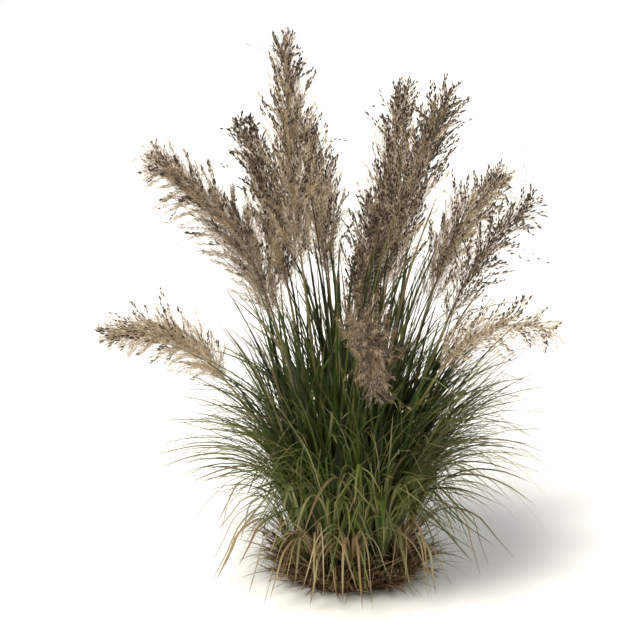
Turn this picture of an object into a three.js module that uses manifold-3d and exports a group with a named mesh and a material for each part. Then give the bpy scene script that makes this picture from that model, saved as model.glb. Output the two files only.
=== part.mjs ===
// A clump of pampas grass with its plumes, cut flat at the ground so that it stands on its own crown.
// Millimetres, +Z up, the origin at the middle of the crown's flat underside. The clump's front faces -Y.
// The crown has a plain socket for each growing place. Leafy shoots, flower stems and tufts of dry leaves
// stand in the sockets, and a plume sits on each flower stem. Each piece grows clear of those before it.
import * as THREE from "three";
import { mergeVertices } from "three/addons/utils/BufferGeometryUtils.js";
import Module from "manifold-3d";

const wasm = await Module();
wasm.setup();

const degree = Math.PI / 180;
const goldenAngle = 137.508;
const seed = 20;
const gap = 0.3;

// The crown is a low woody dome with a wavy rim.
const crownRadius = 205;
const crownHeight = 56;
const crownRimHeight = 26;
const crownSides = 24;
const placeSpacing = 27.6;
const socketDepth = 24;
const socketSides = 5;

// Each flower stem has its growing place, the heading that it leans to, its lean from upright at the root,
// under the plume and at the plume's tip, the lengths of the stem, the plume and a branch, and how far the
// branches on the plume's lower side droop.
const flowers = [
  { place: 4, heading: 182, lean: [4, 7, 1], stem: 870, plume: 680, branch: 170, droop: 0.2 },
  { place: 0, heading: 0, lean: [2, 9, 24], stem: 780, plume: 640, branch: 190, droop: 0.4 },
  { place: 12, heading: 187, lean: [5, 16, 54], stem: 730, plume: 640, branch: 190, droop: 1 },
  { place: 9, heading: 160, lean: [5, 11, 20], stem: 780, plume: 540, branch: 155, droop: 0.5 },
  { place: 13, heading: 352, lean: [7, 20, 44], stem: 720, plume: 480, branch: 135, droop: 0.8 },
  { place: 2, heading: 290, lean: [3, 9, 16], stem: 690, plume: 430, branch: 140, droop: 0.3 },
  { place: 15, heading: 282, lean: [4, 18, 168], stem: 670, plume: 340, branch: 130, droop: 1 },
  { place: 3, heading: 48, lean: [3, 8, 16], stem: 850, plume: 560, branch: 150, droop: 0.4 },
  { place: 6, heading: 108, lean: [6, 15, 34], stem: 790, plume: 540, branch: 160, droop: 0.6 },
  { place: 16, heading: 38, lean: [8, 22, 56], stem: 740, plume: 520, branch: 160, droop: 0.9 },
  { place: 17, heading: 163, lean: [14, 40, 104], stem: 560, plume: 480, branch: 145, droop: 1 },
  { place: 10, heading: 338, lean: [10, 30, 96], stem: 640, plume: 420, branch: 125, droop: 1 },
];
const stemRadius = [7.5, 3.4];
const stemSteps = 6;
const stemLeafLength = 470;
const plumeWhorls = 17;
const whorlTurn = 77;
const plumeCore = 7;
const branchRadius = 8.5;
const branchSpacing = 12;

// Leafy shoots fill the growing places up to this one that have no flower. Dry leaves fill those beyond it.
const greenPlaces = 36;
const dryPlaces = 6;
const shootRadius = 15;
const shootLength = { inner: 370, outer: 130 };
const shootLean = { inner: 1, outer: 11 };
const leavesPerShoot = 7;
const leafLength = { inner: 900, outer: 640 };
const leafWidth = { inner: 14, outer: 10 };
const leafThickness = 1.8;
const dryRadius = 10;
const dryLeaves = 4;
const dryLength = 390;

// How often a leaf is tried for a clear way, how near the ground it may come and the size of a cell of room.
const tries = 30;
const floorClearance = 8;
const cell = 10;

// A seeded draw from 0 to 1 that depends on its keys alone.
function draw(...keys) {
  let h = seed;
  for (const key of keys) {
    h = Math.imul(h ^ (key + 1), 0x9e3779b1);
    h ^= h >>> 15;
  }
  h = Math.imul(h, 0x85ebca6b);
  h ^= h >>> 13;
  return (h >>> 0) / 2 ** 32;
}

const mix = (a, b, t) => a + (b - a) * t;

const around = (keys, middle, spread) => middle + (draw(...keys) - 0.5) * 2 * spread;

const points = (line) => line.map(({ at }) => at);

// The unit direction that leans from upright by tilt towards heading, both in degrees.
function direction(tilt, heading) {
  return new THREE.Vector3(
    Math.sin(tilt * degree) * Math.cos(heading * degree),
    Math.sin(tilt * degree) * Math.sin(heading * degree),
    Math.cos(tilt * degree),
  );
}

// A line that grows from root. Its lean turns from lean to bend between the shares from and to of its length.
function grow({ root, heading, drift = 0, lean, bend, from = 0, to = 1, length, steps }) {
  const tiltAt = (s) => mix(lean, bend, THREE.MathUtils.smoothstep(s, from, to));
  const line = [];
  let at = root.clone();
  for (let i = 0; i <= steps; i++) {
    const way = heading + (drift * i) / steps;
    line.push({ at, along: direction(tiltAt(i / steps), way), side: direction(90, way + 90) });
    const s = (i + 0.5) / steps;
    at = at.clone().addScaledVector(direction(tiltAt(s), heading + drift * s), length / steps);
  }
  return line;
}

// The point of a line at share s of its length.
function pointOn(line, s) {
  const i = Math.min(Math.floor(s * (line.length - 1)), line.length - 2);
  const t = s * (line.length - 1) - i;
  return {
    at: line[i].at.clone().lerp(line[i + 1].at, t),
    along: line[i].along.clone().lerp(line[i + 1].along, t).normalize(),
  };
}

// Room that is taken, as a grid of cells that each remember their owner.
const taken = new Map();
const cellOf = (x, y, z) =>
  (Math.floor(x / cell) + 200) * 160000 + (Math.floor(y / cell) + 200) * 400 + Math.floor(z / cell) + 50;

function samples(path) {
  const found = [];
  for (let i = 0; i + 1 < path.length; i++) {
    const count = Math.ceil(path[i].distanceTo(path[i + 1]) / (cell / 2));
    for (let k = 0; k <= count; k++) found.push(path[i].clone().lerp(path[i + 1], k / count));
  }
  return found;
}

function take(path, radius, owner) {
  const shifts = radius ? [-radius, 0, radius] : [0];
  for (const p of samples(path))
    for (const x of shifts)
      for (const y of shifts)
        for (const z of shifts) {
          const key = cellOf(p.x + x, p.y + y, p.z + z);
          if (!taken.has(key)) taken.set(key, owner);
        }
}

function isClear(path, owner) {
  const shifts = [-cell, 0, cell];
  return samples(path).every((p) => {
    if (p.z < floorClearance) return false;
    for (const x of shifts)
      for (const y of shifts)
        for (const z of shifts) {
          const other = taken.get(cellOf(p.x + x, p.y + y, p.z + z));
          if (other !== undefined && other !== owner) return false;
        }
    return true;
  });
}

// A closed body through rings of corners, each counter-clockwise about its way, to a flat end or to a tip.
function loft(rings, tip) {
  const n = rings[0].length;
  const corners = rings.flat();
  const last = corners.length - n;
  const index = [];
  for (let i = 1; i + 1 < n; i++) index.push(0, i + 1, i);
  for (let r = 0; r < last; r += n)
    for (let i = 0; i < n; i++) {
      const a = r + i;
      const b = r + ((i + 1) % n);
      index.push(a, b, b + n, a, b + n, a + n);
    }
  if (tip) {
    for (let i = 0; i < n; i++) index.push(last + i, last + ((i + 1) % n), corners.length);
    corners.push(tip);
  } else {
    for (let i = 1; i + 1 < n; i++) index.push(last, last + i, last + i + 1);
  }
  return new THREE.BufferGeometry().setFromPoints(corners).setIndex(index);
}

function ringAt({ at, along, side }, radius, sides) {
  const up = along.clone().cross(side);
  return Array.from({ length: sides }, (_, i) => {
    const turn = (2 * Math.PI * i) / sides;
    return at
      .clone()
      .addScaledVector(side, radius * Math.cos(turn))
      .addScaledVector(up, radius * Math.sin(turn));
  });
}

// A round body along a line, with a flat end. Its radius depends on the share of its length.
function tube(line, sides, radiusAt) {
  return loft(line.map((p, i) => ringAt(p, radiusAt(i / (line.length - 1)), sides)));
}

// A grass blade along a line: flat above, with a keel below, narrow at its root and drawn out to a point.
function blade(line, width, thickness) {
  const last = line.length - 1;
  const rings = line.slice(0, last).map(({ at, along, side }, i) => {
    const s = i / last;
    const half = (width / 2) * Math.min(1, 0.55 + 1.8 * s) * (1 - s ** 3) ** 0.7;
    return [
      at.clone().addScaledVector(side, half),
      at.clone().addScaledVector(side, -half),
      at.clone().addScaledVector(side.clone().cross(along), thickness * (1 - 0.5 * s)),
    ];
  });
  return loft(rings, line[last].at);
}

function solid(geometry) {
  const bare = geometry.clone();
  bare.deleteAttribute("normal");
  bare.deleteAttribute("uv");
  const merged = mergeVertices(bare, 1e-4);
  return new wasm.Manifold(
    new wasm.Mesh({
      numProp: 3,
      vertProperties: merged.attributes.position.array,
      triVerts: new Uint32Array(merged.index.array),
    }),
  );
}

const joined = (geometries) => geometries.map(solid).reduce((a, b) => a.add(b));

const group = new THREE.Group();

function addNode(name, body, material) {
  const { vertProperties, triVerts } = body.getMesh();
  const geometry = new THREE.BufferGeometry()
    .setAttribute("position", new THREE.BufferAttribute(vertProperties, 3))
    .setIndex(new THREE.BufferAttribute(triVerts, 1));
  geometry.computeVertexNormals();
  const mesh = new THREE.Mesh(geometry, material);
  mesh.name = name;
  group.add(mesh);
}

const matt = (color) => new THREE.MeshStandardMaterial({ color, roughness: 0.8, metalness: 0 });

// The crown and its growing places

const crownTop = (r) => mix(crownHeight, crownRimHeight, (r / crownRadius) ** 2);

// Growing place k, on a sunflower spiral from the middle out.
function placeOf(k) {
  const r = placeSpacing * Math.sqrt(k + 0.5);
  const top = crownTop(r);
  return {
    k,
    r,
    heading: (k * goldenAngle) % 360,
    share: r / (placeSpacing * Math.sqrt(greenPlaces)),
    top,
    foot: top - socketDepth,
  };
}

const spot = ({ r, heading }, z) =>
  new THREE.Vector3(r * Math.cos(heading * degree), r * Math.sin(heading * degree), z);

function crownBody(places) {
  const profile = [[0, 0], [0.94, 0], [1, 14], [0.93, 28], [0.6, 45], [0, 56]];
  const dome = new THREE.LatheGeometry(
    profile.map(([share, z]) => new THREE.Vector2(share * crownRadius, z)),
    crownSides,
  ).rotateX(Math.PI / 2);
  const corners = dome.attributes.position;
  for (let i = 0; i < corners.count; i++) {
    const turn = Math.atan2(corners.getY(i), corners.getX(i));
    const wave = 1 + 0.035 * Math.cos(3 * turn + 1) + 0.025 * Math.cos(7 * turn);
    corners.setXY(i, corners.getX(i) * wave, corners.getY(i) * wave);
  }
  return places.reduce((body, place) => {
    const bore = (place.radius + gap) / Math.cos(Math.PI / socketSides);
    const socket = new THREE.CylinderGeometry(bore, bore, 60, socketSides)
      .rotateX(Math.PI / 2)
      .translate(...spot(place, place.foot + 30));
    return body.subtract(solid(socket));
  }, solid(dome));
}

// A line that starts upright at the bottom of a place's socket and goes on as a grown line above the crown.
function fromSocket(place, values) {
  const line = grow({ root: spot(place, place.top + 4), heading: place.heading, ...values });
  const foot = { at: spot(place, place.foot + gap), along: direction(0, 0), side: line[0].side };
  return [foot, ...line];
}

// Flower stems and plumes

const stemLine = ({ place, heading, lean, stem }) =>
  fromSocket(placeOf(place), { heading, lean: lean[0], bend: lean[1], length: stem, steps: stemSteps });

function plumeLine({ heading, lean, plume }, stem) {
  const { at, along } = stem.at(-1);
  const root = at.clone().addScaledVector(along, gap);
  return grow({ root, heading, lean: lean[1], bend: lean[2], length: plume, steps: plumeWhorls });
}

// A flower stem with one erect leaf.
function stemBody(line, number, name) {
  const sheath = pointOn(line, 0.42 + 0.1 * draw(2, number));
  const lean = Math.acos(sheath.along.z) / degree + 2;
  const leaf = clearLine(name, (t) => ({
    root: sheath.at,
    heading: around([2, number, t, 0], flowers[number].heading, 110),
    lean,
    bend: around([2, number, t, 1], lean + 34, 24),
    from: 0.2,
    length: around([2, number, t, 2], stemLeafLength * (1 - 0.01 * t), 80),
    steps: 4,
  }));
  const body = solid(tube(line, 5, (s) => mix(stemRadius[0], stemRadius[1], s)));
  return leaf ? body.add(solid(blade(leaf, leafWidth.outer, leafThickness))) : body;
}

// The root, knee and tip of a plume branch. It leaves the axis steeply and then curves: up on the plume's
// upper side, and down like hair on its lower side.
function plumeBranch(face, axis, flower, keys, s, share) {
  const root = face[0].clone().add(face[1]).add(face[2]).divideScalar(3);
  const out = root.clone().sub(axis.at);
  out.addScaledVector(axis.along, -out.dot(axis.along)).normalize();
  const swell = Math.min(1, 0.6 + 1.8 * s) * (1 - 0.75 * s ** 2.5);
  const length = flower.branch * swell * share * around([...keys, 0], 1, 0.16);
  const spread = around([...keys, 1], 30, 5) * degree;
  const first = axis.along.clone().multiplyScalar(Math.cos(spread)).addScaledVector(out, Math.sin(spread));
  const pull = mix(0.16, -0.75 * flower.droop, Math.min(1, 1.6 * Math.max(0, -out.z)));
  const second = first.clone().addScaledVector(direction(0, 0), pull).normalize();
  const knee = root.clone().addScaledVector(first, length / 2);
  return { first, path: [root, knee, knee.clone().addScaledVector(second, length / 2)] };
}

// Samples of a branch beyond its root, where it has to keep clear of the other branches of its plume.
const outerSamples = ([root, knee, tip]) => samples([root.clone().lerp(knee, 0.6), knee, tip]);

const areApart = (some, others) => some.every((p) => others.every((q) => p.distanceTo(q) > branchSpacing));

// A plume is a three-sided core in one skin with its branches: each upward face of the core is drawn out
// into a spindle, like a soft tail of florets.
function plumeBody(line, number, name) {
  const rings = line.slice(0, plumeWhorls).map((p, i) => {
    const s = i / plumeWhorls;
    const side = p.side.clone().applyAxisAngle(p.along, whorlTurn * i * degree);
    return ringAt({ ...p, side }, mix(stemRadius[1], plumeCore, Math.min(1, 5 * s)) * (1 - 0.5 * s), 3);
  });
  const corners = [...rings.flat(), line[plumeWhorls].at];
  const index = [0, 2, 1];
  const kept = [];
  take(points(line), plumeCore, name);
  for (let i = 0; i + 1 < plumeWhorls; i++)
    for (let k = 0; k < 3; k++) {
      const next = (k + 1) % 3;
      const low = [3 * i + k, 3 * i + next, 3 * i + 3 + k];
      index.push(low[2], low[1], 3 * i + 3 + next);
      const face = low.map((corner) => corners[corner]);
      const s = (i + 0.5) / plumeWhorls;
      const branch = [1, 0.7, 0.45]
        .map((share) => plumeBranch(face, line[i], flowers[number], [3, number, i, k], s, share))
        .find(({ path }) => isClear(path, name) && areApart(outerSamples(path), kept));
      if (!branch) {
        index.push(...low);
        continue;
      }
      take(branch.path, 0, name);
      kept.push(...outerSamples(branch.path));
      const [root, knee, tip] = branch.path;
      const high = corners.length;
      for (const corner of face) {
        const arm = corner.clone().sub(root);
        arm.addScaledVector(branch.first, -arm.dot(branch.first)).setLength(branchRadius);
        corners.push(knee.clone().add(arm));
      }
      corners.push(tip);
      for (let j = 0; j < 3; j++) {
        const turn = (j + 1) % 3;
        index.push(low[j], low[turn], high + turn);
        index.push(low[j], high + turn, high + j);
        index.push(high + j, high + turn, high + 3);
      }
    }
  const top = 3 * (plumeWhorls - 1);
  for (let k = 0; k < 3; k++) index.push(top + k, top + ((k + 1) % 3), 3 * plumeWhorls);
  return solid(new THREE.BufferGeometry().setFromPoints(corners).setIndex(index));
}

// Leaves

// The first line that is clear of every other piece, of those that describe gives for each try, or null.
function clearLine(owner, describe) {
  for (let t = 0; t < tries; t++) {
    const line = grow(describe(t));
    if (!isClear(points(line), owner)) continue;
    take(points(line), 0, owner);
    return line;
  }
  return null;
}

// The rolled sheaths of a shoot: tall and upright in the middle of the clump, short and leaning at its rim.
function shootLine(place) {
  const lean = mix(shootLean.inner, shootLean.outer, place.share);
  const length = mix(shootLength.inner, shootLength.outer, place.share) * around([1, place.k, 90], 1, 0.12);
  return fromSocket(place, { lean: lean * 0.6, bend: lean * 1.3, length, steps: 3 });
}

// Leaf j of a shoot, from the youngest, which stands upright, to the oldest, which arches out and down.
function shootLeaf(place, line, name, j) {
  const age = (j + 0.5) / leavesPerShoot;
  const { at, along } = pointOn(line, mix(0.94, 0.4, age));
  const lean = Math.acos(along.z) / degree + mix(1, 9, age);
  return clearLine(name, (t) => {
    const keys = [1, place.k, j, t];
    const arch = mix(8, 42, place.share) + age * mix(34, 84, place.share);
    const bend = around([...keys, 0], arch, 12);
    const length = mix(leafLength.inner, leafLength.outer, place.share) * (0.94 - 0.012 * t);
    return {
      root: at,
      heading: around([...keys, 1], place.heading, mix(180, 48, place.share ** 0.7)),
      drift: around([...keys, 2], 0, 22),
      lean,
      bend,
      from: mix(0.25, 0.04, age),
      length: length * around([...keys, 3], 1, 0.14),
      steps: 3 + Math.round(Math.abs(bend - lean) / 45),
    };
  });
}

function shootBody(place, line, name) {
  const width = mix(leafWidth.inner, leafWidth.outer, place.share);
  const leaves = Array.from({ length: leavesPerShoot }, (_, j) => shootLeaf(place, line, name, j));
  return joined([
    tube(line, 5, (s) => shootRadius * (s < 0.3 ? 1 : mix(1.05, 0.42, s))),
    ...leaves.filter(Boolean).map((leaf) => blade(leaf, width, leafThickness)),
  ]);
}

const dryLine = (place) => fromSocket(place, { lean: 12, bend: 26, length: 70, steps: 2 });

// Old straw-coloured leaves: each rises a little way, kinks over and hangs to the ground.
function dryBody(place, line, name) {
  const leaves = Array.from({ length: dryLeaves }, (_, j) =>
    clearLine(name, (t) => ({
      root: pointOn(line, 0.5 + 0.1 * j).at,
      heading: around([4, place.k, j, t, 0], place.heading, 62),
      drift: around([4, place.k, j, t, 1], 0, 25),
      lean: around([4, place.k, j, t, 2], 24, 9),
      bend: around([4, place.k, j, t, 3], 152, 14),
      from: 0.16,
      to: 0.72,
      length: around([4, place.k, j, t, 4], dryLength - 5 * t, 110),
      steps: 5,
    })),
  );
  return joined([
    tube(line, 5, (s) => mix(dryRadius, 0.6 * dryRadius, s)),
    ...leaves.filter(Boolean).map((leaf) => blade(leaf, leafWidth.outer, leafThickness)),
  ]);
}

// Every piece, in the order in which it takes its room

const numbered = (word, i) => word + "_" + String(i + 1).padStart(2, "0");
const stems = flowers.map(stemLine);
const plumes = flowers.map((flower, i) => plumeLine(flower, stems[i]));
const greens = [];
for (let k = 0; k < greenPlaces; k++) if (flowers.every(({ place }) => place !== k)) greens.push(placeOf(k));
const dries = Array.from({ length: dryPlaces }, (_, i) => placeOf(greenPlaces + i));
const shoots = greens.map(shootLine);
const tufts = dries.map(dryLine);

for (let r = 0; r < crownRadius; r += cell)
  for (let turn = 0; turn < 360; turn += 2) {
    const under = { r, heading: turn };
    take([spot(under, 0), spot(under, crownTop(r) - cell)], 0, "crown");
  }
stems.forEach((line, i) => take(points(line), 6, numbered("flower_stem", i)));
shoots.forEach((line, i) => take(points(line), 12, numbered("shoot", i)));
tufts.forEach((line, i) => take(points(line), 8, numbered("dry_leaves", i)));

const crown = crownBody([
  ...flowers.map(({ place }) => ({ ...placeOf(place), radius: stemRadius[0] })),
  ...greens.map((place) => ({ ...place, radius: shootRadius })),
  ...dries.map((place) => ({ ...place, radius: dryRadius })),
]);
addNode("crown", crown, matt(0x6b5238));
plumes.forEach((line, i) => {
  const name = numbered("plume", i);
  addNode(name, plumeBody(line, i, name), matt(0xa58c72));
});
stems.forEach((line, i) => {
  const name = numbered("flower_stem", i);
  addNode(name, stemBody(line, i, name), matt(0x6f7440));
});
shoots.forEach((line, i) => {
  const name = numbered("shoot", i);
  addNode(name, shootBody(greens[i], line, name), matt(0x4f6a2c));
});
tufts.forEach((line, i) => {
  const name = numbered("dry_leaves", i);
  addNode(name, dryBody(dries[i], line, name), matt(0xc2ab7a));
});

export default group;
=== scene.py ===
from itertools import product
from math import acos, ceil, cos, pi, radians, sin, sqrt

import bpy
import numpy as np
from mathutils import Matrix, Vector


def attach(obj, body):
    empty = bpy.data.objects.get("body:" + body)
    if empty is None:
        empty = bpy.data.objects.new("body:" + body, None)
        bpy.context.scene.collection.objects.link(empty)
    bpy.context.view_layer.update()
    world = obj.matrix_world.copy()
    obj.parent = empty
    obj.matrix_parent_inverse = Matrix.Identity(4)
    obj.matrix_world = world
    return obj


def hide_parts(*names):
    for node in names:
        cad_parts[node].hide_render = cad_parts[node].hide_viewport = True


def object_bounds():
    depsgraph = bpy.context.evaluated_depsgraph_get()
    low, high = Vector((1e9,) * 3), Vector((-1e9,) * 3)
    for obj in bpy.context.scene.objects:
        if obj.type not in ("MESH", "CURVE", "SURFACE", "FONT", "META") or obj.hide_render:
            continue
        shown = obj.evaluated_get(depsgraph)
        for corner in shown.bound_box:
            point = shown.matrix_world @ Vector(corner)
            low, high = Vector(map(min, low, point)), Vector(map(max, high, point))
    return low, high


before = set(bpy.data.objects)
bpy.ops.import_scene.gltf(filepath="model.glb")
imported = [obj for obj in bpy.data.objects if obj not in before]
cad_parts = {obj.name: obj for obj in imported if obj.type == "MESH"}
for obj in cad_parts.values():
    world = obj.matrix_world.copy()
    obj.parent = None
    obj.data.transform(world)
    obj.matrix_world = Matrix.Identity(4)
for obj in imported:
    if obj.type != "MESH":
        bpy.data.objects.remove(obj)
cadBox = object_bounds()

# Growth is worked out in millimetres, as in the solids, and meshes are made in metres.
metre = 0.001
up = np.array([0.0, 0.0, 1.0])

clump = {
    "seed": 20,
    "gap": 0.3,  # between a piece and its seat
    "crownRadius": 205,
    "crownHeight": 56,
    "crownRimHeight": 26,
    "placeSpacing": 27.6,
    "placeTurn": 137.508,  # from one growing place to the next, in degrees
    "socketDepth": 24,
    "greenPlaces": 36,
    "dryPlaces": 6,
    "tries": 30,
    "floorClearance": 8,
    "cell": 10,
    "cells": (280, 280, 200),  # of the space that the clump grows in
    "middleCell": (140, 140, 10),
    "spare": 0.008,  # how far past the solids' box fine growth may reach, in metres
}


# growth rules: seeded draws, lines and the room that pieces take

def draw(*keys):
    # the same number from 0 to 1 for the same keys
    h = clump["seed"]
    for key in keys:
        h = ((h ^ (key + 1)) * 0x9E3779B1) & 0xFFFFFFFF
        h ^= h >> 15
    h = (h * 0x85EBCA6B) & 0xFFFFFFFF
    h ^= h >> 13
    return h / 2**32


def mix(a, b, t):
    return a + (b - a) * t


def around(keys, middle, spread):
    return middle + (draw(*keys) - 0.5) * 2 * spread


def eased(x):
    return x * x * (3 - 2 * x)


def unit(v):
    return v / np.linalg.norm(v, axis=-1, keepdims=True)


def direction(tilt, heading):
    a, b = radians(tilt), radians(heading)
    return np.array([sin(a) * cos(b), sin(a) * sin(b), cos(a)])


def tiltOf(along):
    return acos(along[2]) / (pi / 180)


def turned(side, along, angle):
    # a sideways direction turned about the way of its line
    return side * np.cos(angle) + np.cross(along, side) * np.sin(angle)


def grow(root, heading, lean, bend, length, steps, drift=0, start=0, end=1):
    # a line as its points, their directions and the level directions across it
    def tiltAt(s):
        return mix(lean, bend, eased(min(max((s - start) / (end - start), 0), 1)))

    at, along, side = [root], [], []
    for i in range(steps + 1):
        way = heading + (drift * i) / steps
        along.append(direction(tiltAt(i / steps), way))
        side.append(direction(90, way + 90))
        s = (i + 0.5) / steps
        at.append(at[-1] + direction(tiltAt(s), heading + drift * s) * (length / steps))
    return np.array(at[:-1]), np.array(along), np.array(side)


def pointOn(line, s):
    last = len(line[0]) - 1
    i = min(int(s * last), last - 1)
    t = s * last - i
    at, along, side = (rows[i] + (rows[i + 1] - rows[i]) * t for rows in line)
    return at, unit(along), unit(side)


def samples(path):
    found = []
    for a, b in zip(path[:-1], path[1:]):
        count = ceil(sqrt(((b - a) ** 2).sum()) / (clump["cell"] / 2))
        found.append(a + (b - a) * (np.arange(count + 1) / count)[:, None])
    return np.concatenate(found)


anyOwner = 9999  # above the number of every piece that takes room


class Room:
    # which piece was first in each cell of the clump's space
    def __init__(self):
        self.cells = np.zeros(clump["cells"], np.int16)

    def look(self, spots, reach):
        steps = (-reach, 0, reach) if reach else (0,)
        shifts = np.array(list(product(steps, repeat=3)), float)
        cells = np.floor((spots[:, None] + shifts) / clump["cell"]).astype(int) + clump["middleCell"]
        return tuple(np.clip(cells.reshape(-1, 3), 0, np.array(clump["cells"]) - 1).T)

    def take(self, path, reach, owner):
        where = self.look(samples(path), reach)
        self.cells[where] = np.where(self.cells[where] == 0, owner, self.cells[where])

    def isClear(self, path, owner, below=anyOwner):
        # below leaves out the owners that may be brushed against
        spots = samples(path)
        if spots[:, 2].min() < clump["floorClearance"]:
            return False
        others = self.cells[self.look(spots, clump["cell"])]
        return not ((others > 0) & (others != owner) & (others < below)).any()


room = Room()


def clearLine(owner, keys, describe, below=anyOwner):
    # the first of some tries that stays clear of what has grown; only the solids' own lines take room
    for t in range(clump["tries"]):
        line = grow(**describe(t, lambda n, middle, spread: around((*keys, t, n), middle, spread)))
        if room.isClear(line[0], owner, below):
            if below == anyOwner:
                room.take(line[0], 0, owner)
            return line
    return None


def crownTop(r):
    return mix(clump["crownHeight"], clump["crownRimHeight"], (r / clump["crownRadius"]) ** 2)


def spot(r, heading, z):
    return np.array([r * cos(radians(heading)), r * sin(radians(heading)), z])


def placeOf(k):
    r = clump["placeSpacing"] * sqrt(k + 0.5)
    top = crownTop(r)
    share = r / (clump["placeSpacing"] * sqrt(clump["greenPlaces"]))
    return {"k": k, "r": r, "heading": (k * clump["placeTurn"]) % 360, "share": share, "top": top,
            "foot": top - clump["socketDepth"]}


def fromSocket(place, **values):
    root = spot(place["r"], place["heading"], place["top"] + 4)
    at, along, side = grow(**{"root": root, "heading": place["heading"], **values})
    foot = spot(place["r"], place["heading"], place["foot"] + clump["gap"])
    return np.vstack([foot, at]), np.vstack([up, along]), np.vstack([side[0], side])


# the flowers and leaves, each grown clear of those before it

# growing place, heading, lean at root, plume's foot and plume's tip, stem, plume and branch lengths, droop,
# then the plume's tone from dark and fresh (0) to golden (1), how full it is and how many florets are dark
flowers = [
    (4, 182, (4, 7, 1), 870, 680, 170, 0.2, 0.54, 1.15, 0.4),
    (0, 0, (2, 9, 24), 780, 640, 190, 0.4, 0.5, 1.05, 0.9),
    (12, 187, (5, 16, 54), 730, 640, 190, 1, 0.34, 1.25, 0.24),
    (9, 160, (5, 11, 20), 780, 540, 155, 0.5, 0.40, 1.0, 0.85),
    (13, 352, (7, 20, 44), 720, 480, 135, 0.8, 0.18, 0.6, 1.3),
    (2, 290, (3, 9, 16), 690, 430, 140, 0.3, 0.28, 0.95, 1.0),
    (15, 282, (4, 18, 168), 670, 340, 130, 1, 0.14, 1.15, 0.45),
    (3, 48, (3, 8, 16), 850, 560, 150, 0.4, 0.50, 0.9, 0.65),
    (6, 108, (6, 15, 34), 790, 540, 160, 0.6, 0.55, 1.0, 0.65),
    (16, 38, (8, 22, 56), 740, 520, 160, 0.9, 0.60, 1.0, 0.5),
    (17, 163, (14, 40, 104), 560, 480, 145, 1, 0.62, 1.1, 0.35),
    (10, 338, (10, 30, 96), 640, 420, 125, 1, 0.62, 0.6, 0.5),
]
flowerKeys = ("place", "heading", "lean", "stem", "plume", "branch", "droop", "tone", "full", "dark")
flowers = [dict(zip(flowerKeys, row)) for row in flowers]

plumeForm = {
    "whorls": 17,
    "whorlTurn": 77,
    "core": 7,
    "spacing": 12,  # between the outer parts of branches
    "stemTop": 3.4,
    "spread": (30, 5),  # from the plume's line, and how much that varies, in degrees
    "lift": 0.16,
    "sag": 0.75,
    "shorter": (1, 0.7, 0.45),  # a branch that finds no room is tried again
}
shootForm = {
    "radius": 15,
    "length": (370, 130),  # in the middle of the clump and at its rim
    "lean": (1, 11),
    "leaves": 7,
    "leafFoot": (0.94, 0.4),  # of the youngest leaf and of the oldest
    "leafLean": (1, 9),  # more than the shoot's
    "leafStart": (0.25, 0.04),  # where it begins to bend
    "leafBend": (8, 42),  # in the middle and at the rim
    "oldBend": (34, 84),  # what the oldest leaf adds to it
    "headings": (180, 48, 0.7),  # to either side, in the middle and at the rim
    "drift": 22,
    "leafLength": (900, 640),
    "leafWidth": (14, 10),
}
dryForm = {"leaves": 4, "lean": 24, "bend": 152, "headings": 62, "drift": 25, "length": 390, "varies": 110}
stemForm = {"radius": (7.5, 3.4), "steps": 6, "leafFoot": 0.42, "leafBend": 34, "headings": 110,
            "leafLength": 470}

crownOwner, firstStem, firstPlume, firstShoot, firstTuft = 1, 2, 14, 26, 50

places = [placeOf(k) for k in range(clump["greenPlaces"] + clump["dryPlaces"])]
flowerPlaces = {flower["place"] for flower in flowers}
greens = [place for place in places[:clump["greenPlaces"]] if place["k"] not in flowerPlaces]
dries = places[clump["greenPlaces"]:]


def stemLine(flower):
    lean, bend, _ = flower["lean"]
    return fromSocket(places[flower["place"]], heading=flower["heading"], lean=lean, bend=bend,
                      length=flower["stem"], steps=stemForm["steps"])


def plumeLine(flower, stem):
    root = stem[0][-1] + stem[1][-1] * clump["gap"]
    _, lean, bend = flower["lean"]
    return grow(root, flower["heading"], lean, bend, flower["plume"], plumeForm["whorls"])


def plumeBranch(root, out, along, flower, keys, s, share):
    # its root, knee and tip
    swell = min(1, 0.6 + 1.8 * s) * (1 - 0.75 * s**2.5)
    length = flower["branch"] * swell * share * around((*keys, 0), 1, 0.16)
    spread = radians(around((*keys, 1), *plumeForm["spread"]))
    first = along * cos(spread) + out * sin(spread)
    pull = mix(plumeForm["lift"], -plumeForm["sag"] * flower["droop"], min(1, 1.6 * max(0, -out[2])))
    second = unit(first + up * pull)
    knee = root + first * (length / 2)
    return np.array([root, knee, knee + second * (length / 2)])


def outerSamples(path):
    return samples(np.array([path[0] + (path[1] - path[0]) * 0.6, path[1], path[2]]))


def plumeBranches(line, number, owner):
    flower, whorls = flowers[number], plumeForm["whorls"]
    rings = []
    for i in range(whorls):
        s = i / whorls
        at, along, side = (rows[i] for rows in line)
        first = turned(side, along, radians(plumeForm["whorlTurn"] * i))
        radius = mix(plumeForm["stemTop"], plumeForm["core"], min(1, 5 * s)) * (1 - 0.5 * s)
        rings.append([at + turned(first, along, 2 * pi * k / 3) * radius for k in range(3)])
    room.take(line[0], plumeForm["core"], owner)
    found, kept = [], np.empty((0, 3))
    for i, k in product(range(whorls - 1), range(3)):
        root = (rings[i][k] + rings[i][(k + 1) % 3] + rings[i + 1][k]) / 3
        out = root - line[0][i]
        out = unit(out - line[1][i] * out.dot(line[1][i]))
        for share in plumeForm["shorter"]:
            keys, s = (3, number, i, k), (i + 0.5) / whorls
            path = plumeBranch(root, out, line[1][i], flower, keys, s, share)
            outer = outerSamples(path)
            gaps = np.linalg.norm(outer[:, None] - kept[None], axis=2)
            if room.isClear(path, owner) and (gaps > plumeForm["spacing"]).all():
                room.take(path, 0, owner)
                kept = np.vstack([kept, outer])
                found.append((path, s))
                break
    return found


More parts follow.
